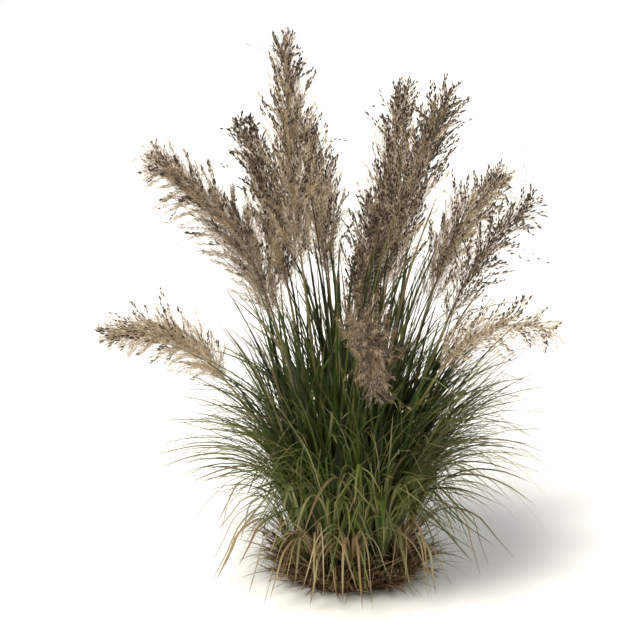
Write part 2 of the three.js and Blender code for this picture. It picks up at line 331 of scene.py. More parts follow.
def stemLeafLine(line, number):
    root, along, _ = pointOn(line, stemForm["leafFoot"] + 0.1 * draw(2, number))
    lean = tiltOf(along) + 2
    return clearLine(firstStem + number, (2, number), lambda t, by: dict(
        root=root, heading=by(0, flowers[number]["heading"], stemForm["headings"]), lean=lean,
        bend=by(1, lean + stemForm["leafBend"], 24), start=0.2,
        length=by(2, stemForm["leafLength"] * (1 - 0.01 * t), 80), steps=4))


def shootLine(place):
    lean = mix(*shootForm["lean"], place["share"])
    length = mix(*shootForm["length"], place["share"]) * around((1, place["k"], 90), 1, 0.12)
    return fromSocket(place, lean=lean * 0.6, bend=lean * 1.3, length=length, steps=3)


def shootLeafLine(place, line, owner, j, age, below=anyOwner, cut=1.0):
    form, share = shootForm, place["share"]
    root, along, _ = pointOn(line, mix(*form["leafFoot"], age))
    lean = tiltOf(along) + mix(*form["leafLean"], age)
    wide, narrow, power = form["headings"]

    def describe(t, by):
        bend = by(0, mix(*form["leafBend"], share) + age * mix(*form["oldBend"], share), 12)
        return dict(
            root=root, heading=by(1, place["heading"], mix(wide, narrow, share**power)),
            drift=by(2, 0, form["drift"]), lean=lean, bend=bend, start=mix(*form["leafStart"], age),
            length=mix(*form["leafLength"], share) * (0.94 - 0.012 * t) * by(3, 1, 0.14) * cut,
            steps=3 + int(abs(bend - lean) / 45 + 0.5))

    return clearLine(owner, (1, place["k"], j), describe, below)


def dryLine(place):
    return fromSocket(place, lean=12, bend=26, length=70, steps=2)


def dryLeafLine(place, line, owner, j, below=anyOwner):
    form = dryForm
    return clearLine(owner, (4, place["k"], j), lambda t, by: dict(
        root=pointOn(line, 0.5 + 0.1 * min(j, 4))[0], heading=by(0, place["heading"], form["headings"]),
        drift=by(1, 0, form["drift"]), lean=by(2, form["lean"], 9), bend=by(3, form["bend"], 14),
        start=0.16, end=0.72, length=by(4, form["length"] - 5 * t, form["varies"]), steps=5), below)


stems = [stemLine(flower) for flower in flowers]
plumes = [plumeLine(flower, stem) for flower, stem in zip(flowers, stems)]
shoots = [shootLine(place) for place in greens]
tufts = [dryLine(place) for place in dries]

for r in range(0, clump["crownRadius"], clump["cell"]):
    for turn in range(0, 360, 2):
        room.take(np.array([spot(r, turn, 0), spot(r, turn, crownTop(r) - clump["cell"])]), 0, crownOwner)
for lines, reach, first in ((stems, 6, firstStem), (shoots, 12, firstShoot), (tufts, 8, firstTuft)):
    for i, line in enumerate(lines):
        room.take(line[0], reach, first + i)

branches = [plumeBranches(line, i, firstPlume + i) for i, line in enumerate(plumes)]
stemLeaves = [stemLeafLine(line, i) for i, line in enumerate(stems)]
shootLeaves = []
ages = [(j + 0.5) / shootForm["leaves"] for j in range(shootForm["leaves"])]
for i, line in enumerate(shoots):
    found = [shootLeafLine(greens[i], line, firstShoot + i, j, age) for j, age in enumerate(ages)]
    shootLeaves.append(list(zip(found, ages)))
dryLeaves = [[dryLeafLine(dries[i], line, firstTuft + i, j) for j in range(dryForm["leaves"])]
             for i, line in enumerate(tufts)]

print("growth: lines of", len(stems), "flowers,", len(shoots), "shoots and", len(tufts), "dry tufts")


# finishes: shader sockets that take part in plain arithmetic

bakeMap = "OFBake"  # each strand's place on it says its tone, how far across and how far along a spot is
toneColumns = 12  # side by side on the map, for leaves and round stems
toneWidth = 0.012  # of a thin strand on the map, to either side


def colour(code):
    # a screen colour such as 8a6a3c, as the linear one that shaders use
    shades = [int(code[i:i + 2], 16) / 255 for i in (0, 2, 4)]
    return (*(c / 12.92 if c < 0.04045 else ((c + 0.055) / 1.055) ** 2.4 for c in shades), 1)


class Signal:
    def __init__(self, finish, socket):
        self.finish, self.socket = finish, socket

    def maths(self, operation, *values):
        return self.finish.node("Math", {"operation": operation}, dict(enumerate(values)))

    def __add__(self, other):
        return self.maths("ADD", self, other)

    def __radd__(self, other):
        return self.maths("ADD", other, self)

    def __sub__(self, other):
        return self.maths("SUBTRACT", self, other)

    def __rsub__(self, other):
        return self.maths("SUBTRACT", other, self)

    def __mul__(self, other):
        return self.maths("MULTIPLY", self, other)

    def __rmul__(self, other):
        return self.maths("MULTIPLY", other, self)

    def __abs__(self):
        return self.maths("ABSOLUTE", self)


class Finish:
    def __init__(self, owner):
        # of the world, or of a new material where only its name is given
        self.owner = bpy.data.materials.new(owner) if isinstance(owner, str) else owner
        self.owner.use_nodes = True
        self.tree = self.owner.node_tree
        self.tree.nodes.clear()

    def node(self, kind, settings=None, inputs=None, output=0):
        made = self.tree.nodes.new("ShaderNode" + kind)
        for key, value in (settings or {}).items():
            if key == "stops":
                ramp = made.color_ramp.elements
                while len(ramp) < len(value):
                    ramp.new(1)
                for element, (position, code) in zip(ramp, value):
                    element.position, element.color = position, colour(code)
            else:
                setattr(made, key, value)
        for key, value in (inputs or {}).items():
            if isinstance(value, Signal):
                self.tree.links.new(value.socket, made.inputs[key])
            else:
                made.inputs[key].default_value = value
        return Signal(self, made.outputs[output]) if made.outputs else None

    def split(self, vector):
        outputs = self.node("SeparateXYZ", inputs={0: vector}).socket.node.outputs
        return [Signal(self, socket) for socket in outputs]

    def ease(self, value, low, high):
        # 0 below low, 1 above high
        inputs = {"Value": value, "From Min": low, "From Max": high}
        return self.node("MapRange", {"interpolation_type": "SMOOTHSTEP"}, inputs)

    def blend(self, mask, shade, code):
        return self.node("Mix", {"data_type": "RGBA"}, {0: mask, 6: shade, 7: colour(code)}, output=2)

    def ramp(self, value, codes):
        stops = [(i / (len(codes) - 1), code) for i, code in enumerate(codes)]
        return self.node("ValToRGB", {"stops": stops}, {0: value})

    def noise(self, vector, scale, detail):
        return self.node("TexNoise", inputs={"Vector": vector, "Scale": scale, "Detail": detail})

    def onStrand(self):
        # across and along a strand, from its place on the map
        return self.split(self.node("UVMap", {"uv_map": bakeMap}))[:2]

    def grain(self, values, scales, detail=3):
        # noise drawn out along a strand
        inputs = {i: value * scale for i, (value, scale) in enumerate(zip(values, scales))}
        return self.noise(self.node("CombineXYZ", inputs=inputs), 1, detail)

    def done(self, shade, rough, specular=0.5, sheen=0.0, relief=None):
        # relief is a height, its strength and its depth in millimetres
        inputs = {"Base Color": shade, "Roughness": rough, "Specular IOR Level": specular,
                  "Sheen Weight": sheen}
        if relief:
            height, strength, depth = relief
            bump = {"Height": height, "Strength": strength, "Distance": depth * metre}
            inputs["Normal"] = self.node("Bump", inputs=bump)
        self.node("OutputMaterial", inputs={"Surface": self.node("BsdfPrincipled", inputs=inputs)})
        return self.owner


def leafFinish(name, base, tip, rib, rough):
    # tone column, then across the leaf from edge to edge, then along it from root to tip
    finish = Finish(name)
    u, along = finish.onStrand()
    column = u * toneColumns
    across = column.maths("FRACT", column)
    tone = (column - across) * (1 / (toneColumns - 1))
    middle = abs(across - 0.5)
    streaks = finish.grain((u, along), (260, 7))
    blotches = finish.grain((u, along, tone), (30, 14, 9))
    shade = finish.ramp(tone + (streaks - 0.5) * 0.22 + (blotches - 0.5) * 0.2, toneCodes[name])
    shade = finish.blend((1 - finish.ease(middle, 0.015, 0.06)) * 0.5, shade, rib)
    shade = finish.blend(finish.ease(middle, 0.36, 0.43) * 0.4, shade, rib)
    foot = finish.ease(along + (streaks - 0.5) * 0.05, 0.03, 0.2)
    shade = finish.blend((1 - foot) * 0.8, shade, base)
    shade = finish.blend(finish.ease(along + (blotches - 0.5) * 0.16, 0.88, 0.97), shade, tip)
    spots = finish.ease(blotches, 0.62, 0.72) * 0.35
    shade = finish.blend(spots, shade, tip)
    veins = across.maths("SINE", across * (2 * pi * 9))
    height = veins * 0.25 + finish.ease(middle, 0.0, 0.07) * 0.8 + streaks * 0.5
    return finish.done(shade, rough + streaks * 0.25 + spots * 0.3, 0.28, relief=(height, 0.5, 0.5))


def strandFinish(name, tip, rough):
    # tone from left to right, and a lighter or darker end
    finish = Finish(name)
    u, along = finish.onStrand()
    fibres = finish.grain((u, along), (400, 60), 2)
    shade = finish.ramp(u + (fibres - 0.5) * 0.2, toneCodes[name])
    shade = finish.blend(finish.ease(along, 0.86, 1.0) * 0.5, shade, tip)
    return finish.done(shade, rough + fibres * 0.2, 0.3, sheen=0.2, relief=(fibres, 0.3, 0.2))


def crownFinish():
    finish = Finish("crownFibre")
    place = finish.node("TexCoord", output=3)
    fibres = finish.noise(finish.node("Mapping", inputs={"Vector": place, "Scale": (60, 60, 9)}), 9, 5)
    patches = finish.noise(place, 22, 4)
    shade = finish.ramp(fibres * 0.7 + patches * 0.5 - 0.1, ["1e1610", "38291b", "5f4930", "866e4a"])
    return finish.done(shade, 0.75 + patches * 0.2, 0.2, relief=(fibres + patches * 0.5, 0.9, 3))


def stemFinish():
    # sheath bands from along the stem, then the leaf's own columns
    finish = Finish("stemSheath")
    u, along = finish.onStrand()
    fibres = finish.grain((u, along), (500, 12))
    patches = finish.grain((u, along), (30, 26))
    shade = finish.ramp(along + (patches - 0.5) * 0.5, ["6a5a3a", "5a6032", "4c5a2a", "66683a", "8f7d54"])
    shade = finish.blend(finish.ease(patches, 0.5, 0.66) * 0.6, shade, "7a5c40")
    return finish.done(shade, 0.45 + fibres * 0.25, 0.35, relief=(fibres, 0.5, 0.5))


# each from its darkest tone to its lightest, or from fresh to withered
toneCodes = {
    "greenLeaf": ["172206", "22330b", "30460f", "465a1c", "666c30", "85845a", "8b7a58", "66503a"],
    "dryLeaf": ["3b2a1a", "57402a", "755a3a", "8f7550", "9d8b63", "989069", "b5ac88"],
    "plumeTwig": ["5c4932", "826d50", "a08b69", "b49e79"],
    "plumeFloret": ["221917", "352822", "4e3e30", "766048", "9a8466", "b49d78"],
    "plumeSilk": ["705a3f", "947e61", "b19b7b", "ccb593", "dcc9a9", "e2d3b4"],
}
greenLeaf = leafFinish("greenLeaf", base="38371c", tip="84714a", rib="727c4b", rough=0.38)
dryLeaf = leafFinish("dryLeaf", base="4c3b27", tip="665238", rib="a89c74", rough=0.6)
stemSheath = stemFinish()
plumeTwig = strandFinish("plumeTwig", tip="75644c", rough=0.5)
plumeFloret = strandFinish("plumeFloret", tip="5c4c3e", rough=0.45)
plumeSilk = strandFinish("plumeSilk", tip="e4d6b8", rough=0.5)
crownFibre = crownFinish()
print("finishes: made")


# meshes: strands gathered into one skin per piece

def smooth(line, count):
    # a finer line through the same points, and level sides square to it
    at, _, side = line
    steps = np.linalg.norm(np.diff(at, axis=0), axis=1)
    knots = np.concatenate([[0], np.cumsum(steps)])
    slope = np.gradient(at, knots, axis=0)
    s = np.linspace(0, knots[-1], count)
    i = np.clip(np.searchsorted(knots, s, "right") - 1, 0, len(at) - 2)
    h = steps[i][:, None]
    t = (s - knots[i])[:, None] / h
    found = at[i] * (2 * t**3 - 3 * t**2 + 1) + slope[i] * h * (t**3 - 2 * t**2 + t)
    found += at[i + 1] * (3 * t**2 - 2 * t**3) + slope[i + 1] * h * (t**3 - t**2)
    return squared(found, side[i] * (1 - t) + side[i + 1] * t)


def squared(at, side):
    along = unit(np.gradient(at, axis=0))
    return at, along, unit(side - along * (side * along).sum(1, keepdims=True))


def together(*columns):
    return np.stack(np.broadcast_arrays(*columns), -1)


def corners(*columns):
    # each face's corners on the map, from columns of across and along
    return together(*columns).reshape(-1, len(columns) // 2, 2)


def added(name, data):
    made = bpy.data.objects.new(name, data)
    bpy.context.scene.collection.objects.link(made)
    return made


class Skin:
    # strands gathered into one mesh
    def __init__(self):
        self.points, self.faces, self.size = [], [], 0

    def add(self, points, runs):
        # runs hold faces as rows of points, the faces' places on the map and their finish
        for faces, spots, finish in runs:
            self.faces.append((faces + self.size, spots, finish))
        self.points.append(points)
        self.size += len(points)

    def loft(self, rings, across, along, tip=None, tipAlong=1.0, finish=0):
        # rings in order along a strand, a flat end at the root, and a point or a flat end at the tip
        n, m, _ = rings.shape
        i, j = (grid.ravel() for grid in np.meshgrid(np.arange(n - 1), np.arange(m), indexing="ij"))
        k = (j + 1) % m
        quads = together(i * m + j, i * m + k, (i + 1) * m + k, (i + 1) * m + j)
        left, right, near, far = across[j], across[j + 1], along[i], along[i + 1]
        places = corners(left, near, right, near, right, far, left, far)
        j, k, last = j[:m], k[:m], (n - 1) * m
        left, right, centre = across[:-1], across[1:], across.mean()
        near, far = along[0], along[-1]
        low, high = together(k, j, n * m), together(last + j, last + k, n * m + 1)
        ends = [rings[0].mean(0), rings[-1].mean(0) if tip is None else tip]
        self.add(np.vstack([rings.reshape(-1, 3), ends]), [
            (quads, places, finish),
            (low, corners(right, near, left, near, centre, near - 0.008), finish),
            (high, corners(left, far, right, far, centre, tipAlong), finish),
        ])

    def tube(self, line, radius, across, span, tip=None, tipAlong=1.0):
        # a round strand with a ring for each radius, and span its first and last place along the map
        at, along, side = (rows[:len(radius), None] for rows in line)
        turns = (np.arange(len(across) - 1) * (2 * pi / (len(across) - 1)))[:, None]
        rings = at + turned(side, along, -turns) * radius[:, None, None]
        self.loft(rings, across, np.linspace(*span, len(radius)), tip, tipAlong)

    def strands(self, root, way, length, radius, tone, low, high, finish, belly=None):
        # fine three-sided strands, or seeds where belly is how far along the widest place is
        count = len(root)
        steep = np.abs(way[:, 2:]) > 0.8
        side = unit(np.cross(way, np.where(steep, [[1.0, 0.0, 0.0]], [[0.0, 0.0, 1.0]])))
        length, radius = length[:, None], np.atleast_1d(radius)[:, None]
        waist = root + way * length * (belly or 0)
        points = [waist + turned(side, way, 2 * pi * k / 3) * radius for k in range(3)]
        points.append(root + way * length)
        if belly:
            points.append(root)
        left, right = tone - toneWidth, tone + toneWidth
        v0, v1, v2 = low, mix(low, high, belly or 0.1), high
        faces = []
        for a, b in ((0, 1), (1, 2), (2, 0)):
            faces.append(((a, b, 3), (left, v1, right, v1, tone, v2)))
            if belly:
                faces.append(((b, a, 4), (right, v1, left, v1, tone, v0)))
        if not belly:
            faces.append(((2, 1, 0), (left, v0, right, v0, tone, v1)))
        first = np.arange(count)[:, None] * len(points)
        runs = [(first + face, corners(*spots), finish) for face, spots in faces]
        self.add(np.stack(points, 1).reshape(-1, 3), runs)

    def silk(self, root, way, length, width, tone, low, high, finish):
        # flat hairs, each one long thin triangle
        across = unit(np.cross(way, rngSilk.normal(0, 1, way.shape))) * width / 2
        points = np.stack([root - across, root + across, root + way * length[:, None]], 1).reshape(-1, 3)
        spots = corners(tone - toneWidth, low, tone + toneWidth, low, tone, high)
        self.add(points, [(np.arange(len(points)).reshape(-1, 3), spots, finish)])

    def piece(self, name, finishes, slot, node=None, number=None, sharpAngle=40):
        # makes the object, which rides on the body and stands for its node, and gives its triangles
        if number is not None:
            name, node = (f"{word}_{number + 1:02d}" for word in (name, node))
        mesh = bpy.data.meshes.new(name)
        faces, spots, kinds = zip(*self.faces)
        counts = [len(rows) for rows in faces]
        sizes = np.repeat([rows.shape[1] for rows in faces], counts)
        mesh.vertices.add(self.size)
        mesh.vertices.foreach_set("co", (np.concatenate(self.points) * metre).ravel())
        mesh.loops.add(sizes.sum())
        mesh.loops.foreach_set("vertex_index", np.concatenate([rows.ravel() for rows in faces]))
        mesh.polygons.add(len(sizes))
        mesh.polygons.foreach_set("loop_start", np.cumsum(sizes) - sizes)
        mesh.polygons.foreach_set("material_index", np.repeat(kinds, counts))
        places = np.concatenate([rows.ravel() for rows in spots])
        mesh.uv_layers.new(name=bakeMap).data.foreach_set("uv", places)
        for finish in finishes:
            mesh.materials.append(finish)
        mesh.update(calc_edges=True)
        mesh.validate()
        mesh.shade_smooth()
        mesh.set_sharp_from_angle(angle=radians(sharpAngle))
        made = added(name, mesh)
        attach(made, "root")
        if node:
            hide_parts(node)
        return int((sizes - 2).sum())


rngSilk = np.random.default_rng(7)

# a leaf's section runs round from one edge over the upper face to the other edge and back under it
fineSection = np.array([1, 0.5, 0, -0.5, -1, -0.5, 0, 0.5]), np.array([0, 1, 1, 1, 0, -1, -1, -1])
slimSection = np.array([1, 0, -1, 0]), np.array([0, 1, 0, -1])


def toneAcross(tone, section):
    # the columns are kept apart by a narrow strip
    spots = np.append(section[0], section[0][0]) * 0.44 + 0.5
    return (int(min(max(tone, 0), toneColumns - 1)) + spots) / toneColumns


def toneRound(tone, sides):
    return (tone + 0.06 + 0.88 * np.linspace(0, 1, sides + 1)) / toneColumns


def leafWidth(s):
    return np.minimum(1, 0.55 + 1.8 * s) * (1 - np.minimum(s, 1) ** 3) ** 0.7


def leafRings(line, half, depth, thickness, section, wrap=None):
    # wrap gives the sheath's share, radius, half angle and how far the blade still stands off the axis
    at, along, side = line
    lift = np.cross(along, side)
    a, face = section
    x = half[:, None] * a
    y = -depth[:, None] * (1 - np.abs(a))
    if wrap is not None:
        share, radius, angle, stand = (values[:, None] for values in wrap)
        x = mix(x, radius * np.sin(a * angle), share)
        y = mix(y - radius * stand, -radius * np.cos(a * angle), share)
    y = y + face * (thickness / 2)[:, None]
    return at[:, None] + side[:, None] * x[..., None] + lift[:, None] * y[..., None]


def leaf(skin, line, width, tone, twist, rings, fold, thickness=0.5, section=slimSection, finish=0, low=0.2):
    # a folded blade that narrows to its tip, its root at low along the map
    at, along, side = smooth(line, rings + 1)
    s = np.linspace(0, 1, rings + 1)
    side = turned(side, along, (twist * s**1.5)[:, None])
    half = width / 2 * leafWidth(s)
    thinner = 1 - 0.5 * s
    made = leafRings((at, along, side), half, half * 2 * fold * thinner, thickness * thinner, section)
    skin.loft(made[:-1], toneAcross(tone, section), mix(low, 0.985, s[:-1]), at[-1], 0.985, finish)


# crown

crownLook = {
    "sides": 120,
    "profile": ((0, 0), (0.5, 0), (0.94, 0), (0.985, 6), (1, 14), (0.97, 22), (0.93, 28), (0.83, 35),
                (0.72, 41), (0.6, 45), (0.45, 50), (0.3, 53.5), (0.15, 55.5), (0, 56)),
    "roughness": 2.2,
    "floorGap": 3,  # under the straws
}
strawLook = {
    "stubs": dict(count=520, length=(16, 74), width=(3.5, 9), tones=8, twist=0.5,
                  blade=dict(rings=4, fold=0.25, thickness=0.9, low=0.3)),
    "straws": dict(count=620, length=(70, 200), width=(2.6, 6), tones=9, twist=0.8,
                   blade=dict(rings=6, fold=0.25, thickness=0.6, low=0.24)),
    "skirt": dict(count=660, length=(34, 120), width=(2.6, 6), tones=9, twist=0.8,
                  blade=dict(rings=5, fold=0.25, thickness=0.6, low=0.24)),
}


def buildCrown():
    skin = Skin()
    turn = np.arange(crownLook["sides"]) * (2 * pi / crownLook["sides"])
    wave = 1 + 0.035 * np.cos(3 * turn + 1) + 0.025 * np.cos(7 * turn)
    rings = []
    for number, (share, z) in enumerate(crownLook["profile"][1:-1]):
        rough = np.sin(turn * 41 + number * 2.4) * 0.5 + np.sin(turn * 67 - number * 1.7) * 0.5
        r = share * clump["crownRadius"] * wave + rough * crownLook["roughness"] * (z > 0)
        height = z + rough * crownLook["roughness"] * 0.6 * (z > 14)
        rings.append(together(r * np.cos(turn), r * np.sin(turn), height))
    rings = np.array(rings)
    skin.loft(rings, np.linspace(0.02, 0.98, len(turn) + 1), np.linspace(0.05, 0.95, len(rings)),
              spot(0, 0, clump["crownHeight"]), 0.98)
    skin.points[-1][-2] = (0, 0, 0)
    return skin.piece("crown_fibre", [crownFibre], "crown", "crown", sharpAngle=60)


def stub(length, rng):
    # the cut and broken bases of old leaves
    r = clump["crownRadius"] * 0.98 * sqrt(rng.random())
    heading = rng.uniform(0, 360)
    share = r / clump["crownRadius"]
    lean = share * 52 + rng.normal(0, 12)
    length = mix(*length, rng.random() * (0.45 + 0.55 * share))
    return grow(spot(r, heading, crownTop(r) - 7), heading + rng.normal(0, 30), lean,
                min(lean + rng.random() * 42, 96), length, 4)


def straw(length, rng):
    # thin dry blades that spread from the rim
    heading = rng.uniform(0, 360)
    r = clump["crownRadius"] * (0.7 + 0.28 * rng.random())
    lean = rng.uniform(28, 78)
    length = mix(*length, rng.random() ** 1.6)
    return grow(spot(r, heading, crownTop(r) - 9), heading + rng.normal(0, 34), lean,
                min(lean + 75 * rng.random() ** 1.3, 112), length, 7, rng.normal(0, 26), 0.15)


def skirt(length, rng):
    # low ones that hide the rim, some of them bent down to the ground
    heading = rng.uniform(0, 360)
    lean = rng.uniform(50, 92)
    length = mix(*length, rng.random() ** 1.4)
    root = spot(clump["crownRadius"] * 0.95, heading, rng.uniform(6, 26))
    return grow(root, heading + rng.normal(0, 42), lean, lean + rng.normal(-6, 32), length, 5,
                rng.normal(0, 30))


def buildStubble():
    rng = np.random.default_rng(5)
    skin = Skin()
    for kind, lineOf in (("stubs", stub), ("straws", straw), ("skirt", skirt)):
        look = strawLook[kind]
        for _ in range(look["count"]):
            line = lineOf(look["length"], rng)
            if line[0][:, 2].min() > crownLook["floorGap"]:
                width, tone = rng.uniform(*look["width"]), rng.integers(0, look["tones"])
                leaf(skin, line, width, tone, rng.normal(0, look["twist"]), **look["blade"])
    return skin.piece("crown_stubble", [dryLeaf], "dry_leaf")


# leafy shoots

shootLook = {
    "bundle": 0.72,  # of the shoot's radius, inside its sheaths
    "sheathAngle": 1.25,  # half of the wrap, in radians
    "sheathTop": 0.2,  # on the map
    "dead": 0.12,  # share of the sheathed leaves that have died back
    "fine": dict(count=(18, 34), cut=(0.62, 0.98), width=(4, 9.5), twist=0.6,
                 blade=dict(rings=12, fold=0.16)),
}
# the other leaves of a shoot: length and headings are for the middle of the clump and for its rim,
# foot, lean and start are the least and what a draw adds, and keys are those of the draws
sideLeaves = (
    dict(  # erect ones that stand up among the flower stems
        count=lambda share, fuller: mix(22, 8, share), width=(7, 12.5), twist=0.5,
        # most blades keep their own spread of greens; the few lifted by 4 or 8 are painted highlights that
        # stand in for sunlit blades
        tone=lambda rng: 2.3 + rng.normal(0, 2.2) + rng.choice((0, 4, 8), p=(0.78, 0.14, 0.08)),
        keys=(10, 11, 12), foot=(0.3, 0.64), lean=(1, 5), headings=(180, 60, 0.7), drift=25, start=(0.3, 0),
        bend=lambda lean, share, x: lean + mix(14, 34, share) * (0.3 + 1.2 * x**2), reach=0.7,
        length=(850, 690), shorter=8, varies=200, steps=8, below=firstPlume, blade=dict(rings=11, fold=0.2)),
    dict(  # pale folded ones that hang round the foot
        count=lambda share, fuller: mix(2, 8, share), width=(5.5, 12), twist=0.5,
        tone=lambda rng: rng.integers(4, 9),
        keys=(6, 7, 9), foot=(0.25, 0.4), lean=(6, 16), headings=(150, 60, 1), drift=30, start=(0.3, 0.35),
        bend=lambda lean, share, x: 138 + (x - 0.5) * 2 * 24, reach=0.13,
        length=(480, 400), shorter=6, varies=110, steps=12, below=firstShoot, blade=dict(rings=15, fold=0.2)),
    dict(  # the finest, which arch out on the clump's fuller side
        count=lambda share, fuller: 76 * share**1.5 * fuller, width=(2.4, 5), twist=0.6,
        tone=lambda rng: 7 + rng.normal(0, 2),
        keys=(15, 16, 17), foot=(0.3, 0.6), lean=(4, 14), headings=(62, 62, 1), drift=30, start=(0.15, 0),
        bend=lambda lean, share, x: lean + 26 + 90 * x**1.2, reach=0.85,
        length=(670, 670), shorter=8, varies=190, steps=8, below=firstPlume, blade=dict(rings=8, fold=0.16)),
)


def bundled(axis, radius, tone, sides, span, point):
    # the skin of a piece that begins as a round bundle of leaf bases with a point of its own length
    skin, line = Skin(), smooth(axis, len(radius))
    skin.tube(line, radius, toneRound(tone, sides), span, line[0][-1] + line[1][-1] * point, span[1] + 0.05)
    return skin


def shootRadius(s):
    return shootForm["radius"] * np.where(s < 0.3, 1, mix(1.05, 0.42, s))


def sheathedLeaf(skin, axis, top, line, width, tone, age, twist):
    # one strip: a sheath round the shoot from its foot up to top, then the blade on its own line
    s = np.linspace(0.0, top, 6)
    foot = [pointOn(axis, min(t, 0.999)) for t in s[:-1]]
    blade = smooth(line, 20)
    at = np.vstack([[p[0] for p in foot], blade[0]])
    side = np.vstack([np.repeat(blade[2][:1], len(foot), 0), blade[2]])
    at, along, side = squared(at, side)
    n, k = len(foot), len(blade[0])
    b = np.concatenate([np.zeros(n), np.linspace(0, 1, k)])
    side = turned(side, along, (twist * b**1.5)[:, None])
    half = width / 2 * leafWidth(b)
    climb = np.concatenate([s[:-1], np.full(k, top)])
    radius = shootRadius(climb) * mix(0.78, 1.02, age)
    share = np.concatenate([np.ones(n - 1), [0.75, 0.3], np.zeros(k - 1)])
    stand = 1 - eased(np.clip(b / 0.2, 0, 1))
    wrap = share, radius, np.full(n + k, shootLook["sheathAngle"]) * mix(1, 0.6, climb), stand
    depth, thickness = half * 0.34 * (1 - 0.5 * b), 0.8 * (1 - 0.4 * b)
    rings = leafRings((at, along, side), half, depth, thickness, fineSection, wrap)
    low = shootLook["sheathTop"]
    v = np.concatenate([mix(0.02, low, s[:-1] / top), mix(low, 0.985, b[n:])])
    skin.loft(rings[:-1], toneAcross(tone, fineSection), v[:-1], at[-1], 0.985)


def insideBox(path):
    low, high = path.min(0) * metre, path.max(0) * metre
    spare = clump["spare"]
    return all(low > np.array(cadBox[0]) - spare) and all(high < np.array(cadBox[1]) + spare)


def sideLeaf(look, place, axis, owner, j):
    # one more leaf of the shoot, which stands, hangs or arches as its kind does
    k, share = place["k"], place["share"]
    footKey, leanKey, key = look["keys"]
    root, along, _ = pointOn(axis, look["foot"][0] + look["foot"][1] * draw(footKey, k, j))
    lean = tiltOf(along) + look["lean"][0] + look["lean"][1] * draw(leanKey, k, j)
    start = look["start"][0] + look["start"][1] * draw(8, k, j)
    wide, narrow, power = look["headings"]
    return clearLine(owner, (key, k, j), lambda t, by: dict(
        root=root, heading=by(0, place["heading"], mix(wide, narrow, share**power)),
        drift=by(1, 0, look["drift"]), lean=lean, bend=look["bend"](lean, share, draw(key, k, j, t, 2)),
        start=start, end=start + look["reach"], steps=look["steps"],
        length=by(3, mix(*look["length"], share) - look["shorter"] * t, look["varies"])), look["below"])


def addLeaf(skin, line, look, tone, rng):
    width, twist = rng.uniform(*look["width"]), rng.normal(0, look["twist"])
    if line and insideBox(line[0]):
        leaf(skin, line, width, tone, twist, **look["blade"])


def buildShoot(number, axis):
    place, owner = greens[number], firstShoot + number
    share = place["share"]
    rng = np.random.default_rng(100 + number)
    skin = bundled(axis, shootRadius(np.linspace(0, 1, 8)) * shootLook["bundle"], 2, 10, (0.08, 0.5), 14)
    for line, age in shootLeaves[number]:
        if line is None:
            continue
        tone = min(1.2 + 3.2 * age + 2 * share + rng.normal(0, 1.7), 8)
        if rng.random() < shootLook["dead"]:
            tone = 11  # a leaf that has died back
        width, top = mix(*shootForm["leafWidth"], share), mix(*shootForm["leafFoot"], age)
        sheathedLeaf(skin, axis, top, line, width, tone, age, rng.normal(0, 0.35))
    look = shootLook["fine"]
    for j in range(round(mix(*look["count"], share))):
        age = ((j * 0.618034) % 1) * 0.95 + 0.02
        line = shootLeafLine(place, axis, owner, 40 + j, age, firstShoot, rng.uniform(*look["cut"]))
        tone = 1 + 4.5 * age + 1.5 * share + rng.normal(0, 2)
        addLeaf(skin, line, look, min(tone, 9), rng)
    fuller = 0.3 + 0.7 * max(0, cos(radians(place["heading"])))
    for look in sideLeaves:
        for j in range(round(look["count"](share, fuller))):
            addLeaf(skin, sideLeaf(look, place, axis, owner, j), look, look["tone"](rng), rng)
    return skin.piece("leafy_shoot", [greenLeaf], "green_leaf", "shoot", number)


# dry tufts

dryLook = {
    "radius": (9, 5),
    "width": 9,
    "blade": dict(rings=18, fold=0.3, thickness=0.8, section=fineSection),
    "fineLeaves": 8,
    "fineWidth": (3, 7),
    "fineBlade": dict(rings=14, fold=0.28, thickness=0.6),
    "spikes": 30,
    "spikeLength": (90, 280),
    "spikeBlade": dict(rings=7, fold=0.25, thickness=0.6),
}


def buildTuft(number, axis):
    place, owner = dries[number], firstTuft + number
    rng = np.random.default_rng(200 + number)
    skin = bundled(axis, np.linspace(*dryLook["radius"], 5), 1, 8, (0.1, 0.4), 10)
    for line in dryLeaves[number]:
        if line:
            leaf(skin, line, dryLook["width"], rng.integers(5, 12), rng.normal(0, 1.0), **dryLook["blade"])
    for j in range(dryLook["fineLeaves"]):
        line = dryLeafLine(place, axis, owner, 10 + j, firstShoot)
        width, tone, twist = rng.uniform(*dryLook["fineWidth"]), rng.integers(4, 12), rng.normal(0, 1.2)
        if line and insideBox(line[0]):
            leaf(skin, line, width, tone, twist, **dryLook["fineBlade"])
    for j in range(dryLook["spikes"]):
        # short stiff straws that stand out between the hanging ones
        lean = rng.uniform(8, 60)
        root = pointOn(axis, 0.2 + 0.6 * rng.random())[0]
        line = grow(root, place["heading"] + rng.normal(0, 55), lean, lean + 45 * rng.random(),
                    rng.uniform(*dryLook["spikeLength"]), 7, rng.normal(0, 20), 0.2)
        width, tone = rng.uniform(*dryLook["fineWidth"]), rng.integers(0, 9)
        if room.isClear(line[0][2:], owner, firstShoot):
            leaf(skin, line, width, tone, rng.normal(0, 0.8), **dryLook["spikeBlade"])
    return skin.piece("dry_tuft", [dryLeaf], "dry_leaf", "dry_leaves", number)


# flower stems

stemLook = {
    "rings": 46,
    "sides": 10,
    "nodes": (0.14, 0.3, 0.46, 0.62, 0.78),
    "swelling": 1.1,
    "sheath": (0.12, 0.7),  # its length along the stem, and how far it stands off at its top
    "leafWidth": 11,
    "leafBlade": dict(twist=0.3, rings=22, fold=0.2, thickness=0.7, section=fineSection, finish=1, low=0.16),
    "upperLeaves": 6,
    "upperLength": 400,
    "upperBend": 60,
    "upperWidth": (6, 10),
    "upperBlade": dict(rings=14, fold=0.2, finish=1),
}


